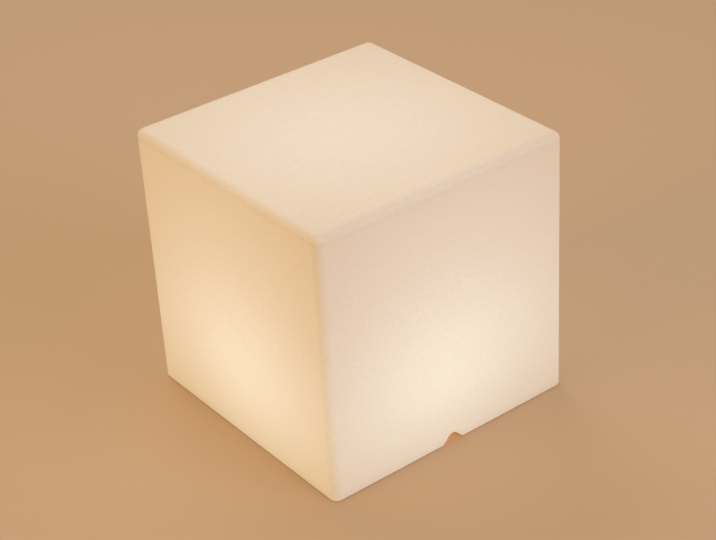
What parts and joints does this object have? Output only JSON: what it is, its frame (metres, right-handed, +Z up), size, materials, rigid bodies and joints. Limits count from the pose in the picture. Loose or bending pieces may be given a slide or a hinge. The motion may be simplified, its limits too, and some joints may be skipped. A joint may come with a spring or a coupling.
{
  "type": "led cube light",
  "caption": "Glowing floor cube: a rounded, moulded plastic shell with a sealed rechargeable light module in its underside and a small cable notch at the foot of one face",
  "frame": {"origin": "on the floor, under the middle of the cube, at the middle of the bottom of its bounding box", "axes": "+Z up, with the cube standing on its pads; -Y towards the face with the cable notch; +X to the right of someone who looks at that face"},
  "size_m": [0.4, 0.4, 0.396],
  "materials": {
    "shell": "moulded matte polyethylene, lit from inside",
    "rubber_grey": "matte soft rubber",
    "rubber_black": "matte soft rubber",
    "button_rubber": "satin soft rubber",
    "brass": "turned",
    "housing": "fine moulded texture",
    "cover": "fine moulded texture",
    "black_plastic": "moulded",
    "screw_steel": "passivated stainless steel",
    "nickel": "nickel plate",
    "white_board": "white solder mask",
    "green_board": "green solder mask",
    "led_chip": "yellow phosphor in a white case",
    "dome": "opal, frosted",
    "cell_wrap": "shrink sleeve",
    "light_pipe": "clear moulding",
    "red_lead": "insulation",
    "black_lead": "insulation"
  },
  "bodies": {
    "lamp": {"battery_cells": "cell_wrap", "battery_clamp": "black_plastic", "battery_lead_black": "black_lead", "battery_lead_red": "red_lead", "board_connectors": "cover", "board_parts": "black_plastic", "board_screws": "screw_steel", "bottom_cover": "cover", "button_membrane": "rubber_black", "charge_jack": "black_plastic", "charge_led": "led_chip", "charge_light": "light_pipe", "clamp_screws": "screw_steel", "control_board": "green_board", "cover_screws": "screw_steel", "cover_seal": "rubber_black", "cube_shell": "shell", "diffuser_dome": "dome", "dome_bezel": "housing", "dome_seal": "rubber_black", "flap_anchor": "rubber_grey", "foot_pads": "rubber_grey", "jack_nut": "nickel", "jack_pin": "nickel", "jack_tags": "nickel", "led_board": "white_board", "led_board_screws": "screw_steel", "led_chips": "led_chip", "led_lead_black": "black_lead", "led_lead_red": "red_lead", "membrane_ring": "black_plastic", "module_gasket": "rubber_black", "module_housing": "housing", "module_screws": "screw_steel", "nickel_strips": "nickel", "socket_lead_black": "black_lead", "socket_lead_red": "red_lead", "switch_body": "black_plastic", "threaded_inserts": "brass"},
    "button": {"power_button": "button_rubber", "switch_plunger": "cover"},
    "flap": {"socket_flap": "rubber_grey"}
  },
  "joints": [
    {"name": "button_press", "type": "slide", "parent": "lamp", "child": "button", "axis": [0, 0, 1], "range_m": [0, 0.0008], "stiffness_N_per_m": 1500, "deforming": ["button_membrane"]},
    {"name": "flap_fold", "type": "hinge", "parent": "lamp", "child": "flap", "pos_m": [-0.02, -0.0125, 0.0187], "axis": [1, 0, 0], "range_deg": [0, 100]}
  ]
}
